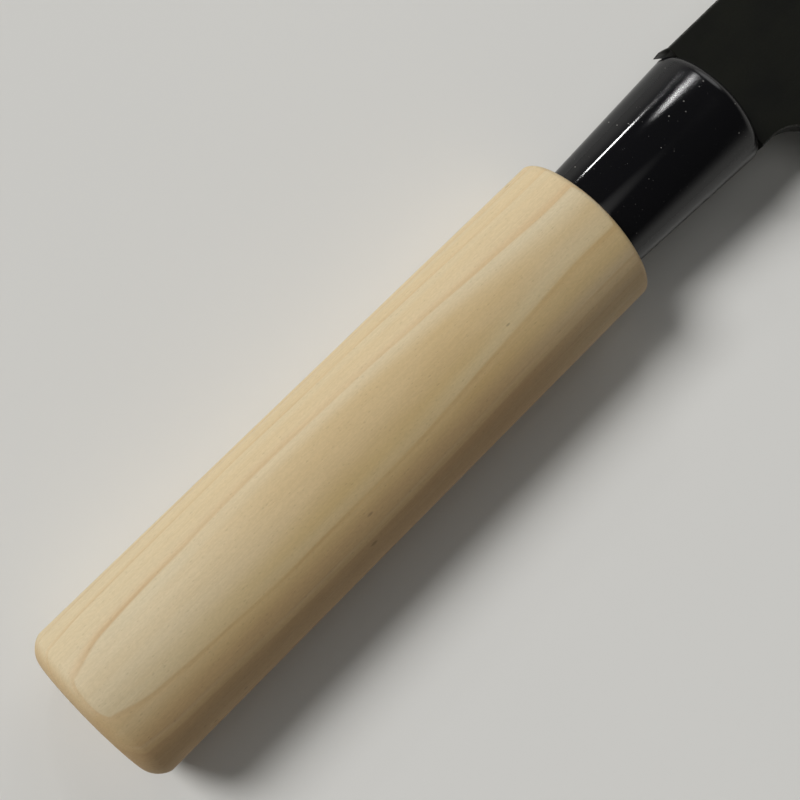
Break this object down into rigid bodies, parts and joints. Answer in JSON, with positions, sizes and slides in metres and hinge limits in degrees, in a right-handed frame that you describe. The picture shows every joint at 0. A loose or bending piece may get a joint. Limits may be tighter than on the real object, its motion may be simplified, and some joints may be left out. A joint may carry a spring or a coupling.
{
  "type": "gyuto knife",
  "caption": "Kitchen knife with a wide pointed blade in a dark forged finish, a black ferrule and an oval pale wood handle, for slicing, chopping and mincing.",
  "frame": {"origin": "centre of the flat butt of the handle, on the line that the tang is driven along", "axes": "+X from the butt to the tip of the blade, +Y from the cutting edge to the spine, +Z out of the right-hand face of the blade, so the knife lies on its left side"},
  "size_m": [0.346, 0.0485, 0.0188],
  "materials": {
    "hard_steel": "ground and polished edge steel",
    "forged_iron": "black forge scale, satin, with a ground bevel",
    "black_plastic": "moulded, glossy",
    "magnolia_wood": "bare, sanded smooth",
    "cured_resin": "cured adhesive"
  },
  "bodies": {
    "root": {"core_steel": "hard_steel", "right_cladding": "forged_iron", "left_cladding": "forged_iron", "ferrule": "black_plastic", "handle_body": "magnolia_wood", "tang_bedding": "cured_resin"}
  },
  "joints": []
}
